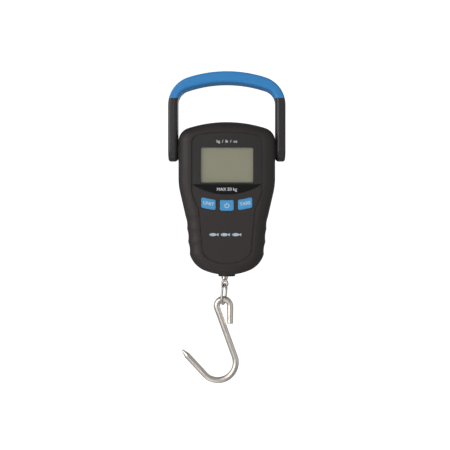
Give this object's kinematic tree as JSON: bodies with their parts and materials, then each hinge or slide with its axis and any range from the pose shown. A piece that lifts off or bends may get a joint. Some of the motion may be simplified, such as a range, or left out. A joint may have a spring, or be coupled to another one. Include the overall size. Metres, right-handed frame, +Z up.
{
  "type": "digital hanging scale",
  "caption": "Hand-held digital hanging scale: a folding bail handle with a soft grip, a waisted case with a display and press keys, and a swivel with a link and an open S-hook.",
  "frame": {"origin": "middle of the grip's underside, on the line that carries the load", "axes": "+Z up towards the grip, the display faces -Y, +X to the right as the display is read"},
  "size_m": [0.0838, 0.0333, 0.2236],
  "materials": {
    "grip_soft": "satin",
    "arm_plastic": "satin",
    "axle_steel": "brushed",
    "screw_steel": "satin",
    "cap_plastic": "matte",
    "case_plastic": "satin",
    "back_plastic": "satin",
    "bush_plastic": "matte",
    "collar_plastic": "satin",
    "print_ink": "matte",
    "bezel_plastic": "satin",
    "badge_gloss": "gloss",
    "lens_acrylic": "clear",
    "lcd_panel": "matte",
    "reflector": "satin",
    "elastomer": "matte",
    "board": "gloss",
    "chip_epoxy": "gloss",
    "switch_body": "matte",
    "key_plastic": "satin",
    "cell_alloy": "satin",
    "fitting_steel": "satin",
    "gauge_foil": "gloss",
    "battery_can": "satin",
    "contact_plate": "satin",
    "wire_cover": "matte",
    "lead_cover": "matte",
    "door_plastic": "satin",
    "eye_steel": "polished",
    "hook_steel": "polished"
  },
  "bodies": {
    "handle": {"handle_frame": "arm_plastic", "grip_sleeve": "grip_soft", "axle_rod": "axle_steel", "axle_screws": "screw_steel", "pivot_caps": "cap_plastic"},
    "case": {"front_shell": "case_plastic", "rear_shell": "back_plastic", "case_screws": "screw_steel", "pivot_bushes": "bush_plastic", "neck_collar": "collar_plastic", "display_bezel": "bezel_plastic", "badge_plate": "badge_gloss", "display_lens": "lens_acrylic", "lcd_glass": "lcd_panel", "lcd_reflector": "reflector", "zebra_strips": "elastomer", "circuit_board": "board", "controller_chip": "chip_epoxy", "tact_switches": "switch_body", "board_screws": "screw_steel", "hanger_clevis": "fitting_steel", "load_cell": "cell_alloy", "cell_pins": "axle_steel", "strain_gauges": "gauge_foil", "lower_yoke": "fitting_steel", "thrust_washer": "contact_plate", "battery_cells": "battery_can", "battery_contacts": "contact_plate", "battery_springs": "contact_plate", "battery_leads": "wire_cover", "cell_lead": "lead_cover"},
    "unit_key": {"unit_key": "key_plastic"},
    "power_key": {"power_key": "key_plastic"},
    "tare_key": {"tare_key": "key_plastic"},
    "battery_door": {"battery_door": "door_plastic"},
    "swivel": {"eye_bolt": "eye_steel", "swivel_nut": "fitting_steel"},
    "link": {"link_ring": "hook_steel"},
    "hook": {"s_hook": "hook_steel"}
  },
  "joints": [
    {"name": "handle_fold", "type": "hinge", "parent": "handle", "child": "case", "pos_m": [0, 0, -0.0478], "axis": [1, 0, 0], "range_deg": [-145, 140]},
    {"name": "unit_press", "type": "slide", "parent": "case", "child": "unit_key", "axis": [0, 1, 0], "range_m": [0, 0.0006], "stiffness_N_per_m": 1500, "springref_m": -0.0002},
    {"name": "power_press", "type": "slide", "parent": "case", "child": "power_key", "axis": [0, 1, 0], "range_m": [0, 0.0006], "stiffness_N_per_m": 1500, "springref_m": -0.0002},
    {"name": "tare_press", "type": "slide", "parent": "case", "child": "tare_key", "axis": [0, 1, 0], "range_m": [0, 0.0006], "stiffness_N_per_m": 1500, "springref_m": -0.0002},
    {"name": "door_open", "type": "hinge", "parent": "case", "child": "battery_door", "pos_m": [0, 0.0181, -0.1189], "axis": [-1, 0, 0], "range_deg": [0, 85]},
    {"name": "hook_swivel", "type": "hinge", "parent": "case", "child": "swivel", "pos_m": [-0.0015, 0, -0.115], "axis": [0, 0, 1], "continuous": true},
    {"name": "link_swing", "type": "hinge", "parent": "swivel", "child": "link", "pos_m": [-0.0015, 0, -0.14387], "axis": [0.3746, 0.9272, 0], "range_deg": [-60, 60]},
    {"name": "hook_swing", "type": "hinge", "parent": "link", "child": "hook", "pos_m": [-0.00238, 0.00036, -0.15476], "axis": [1, 0, 0], "range_deg": [-18, 18]}
  ]
}
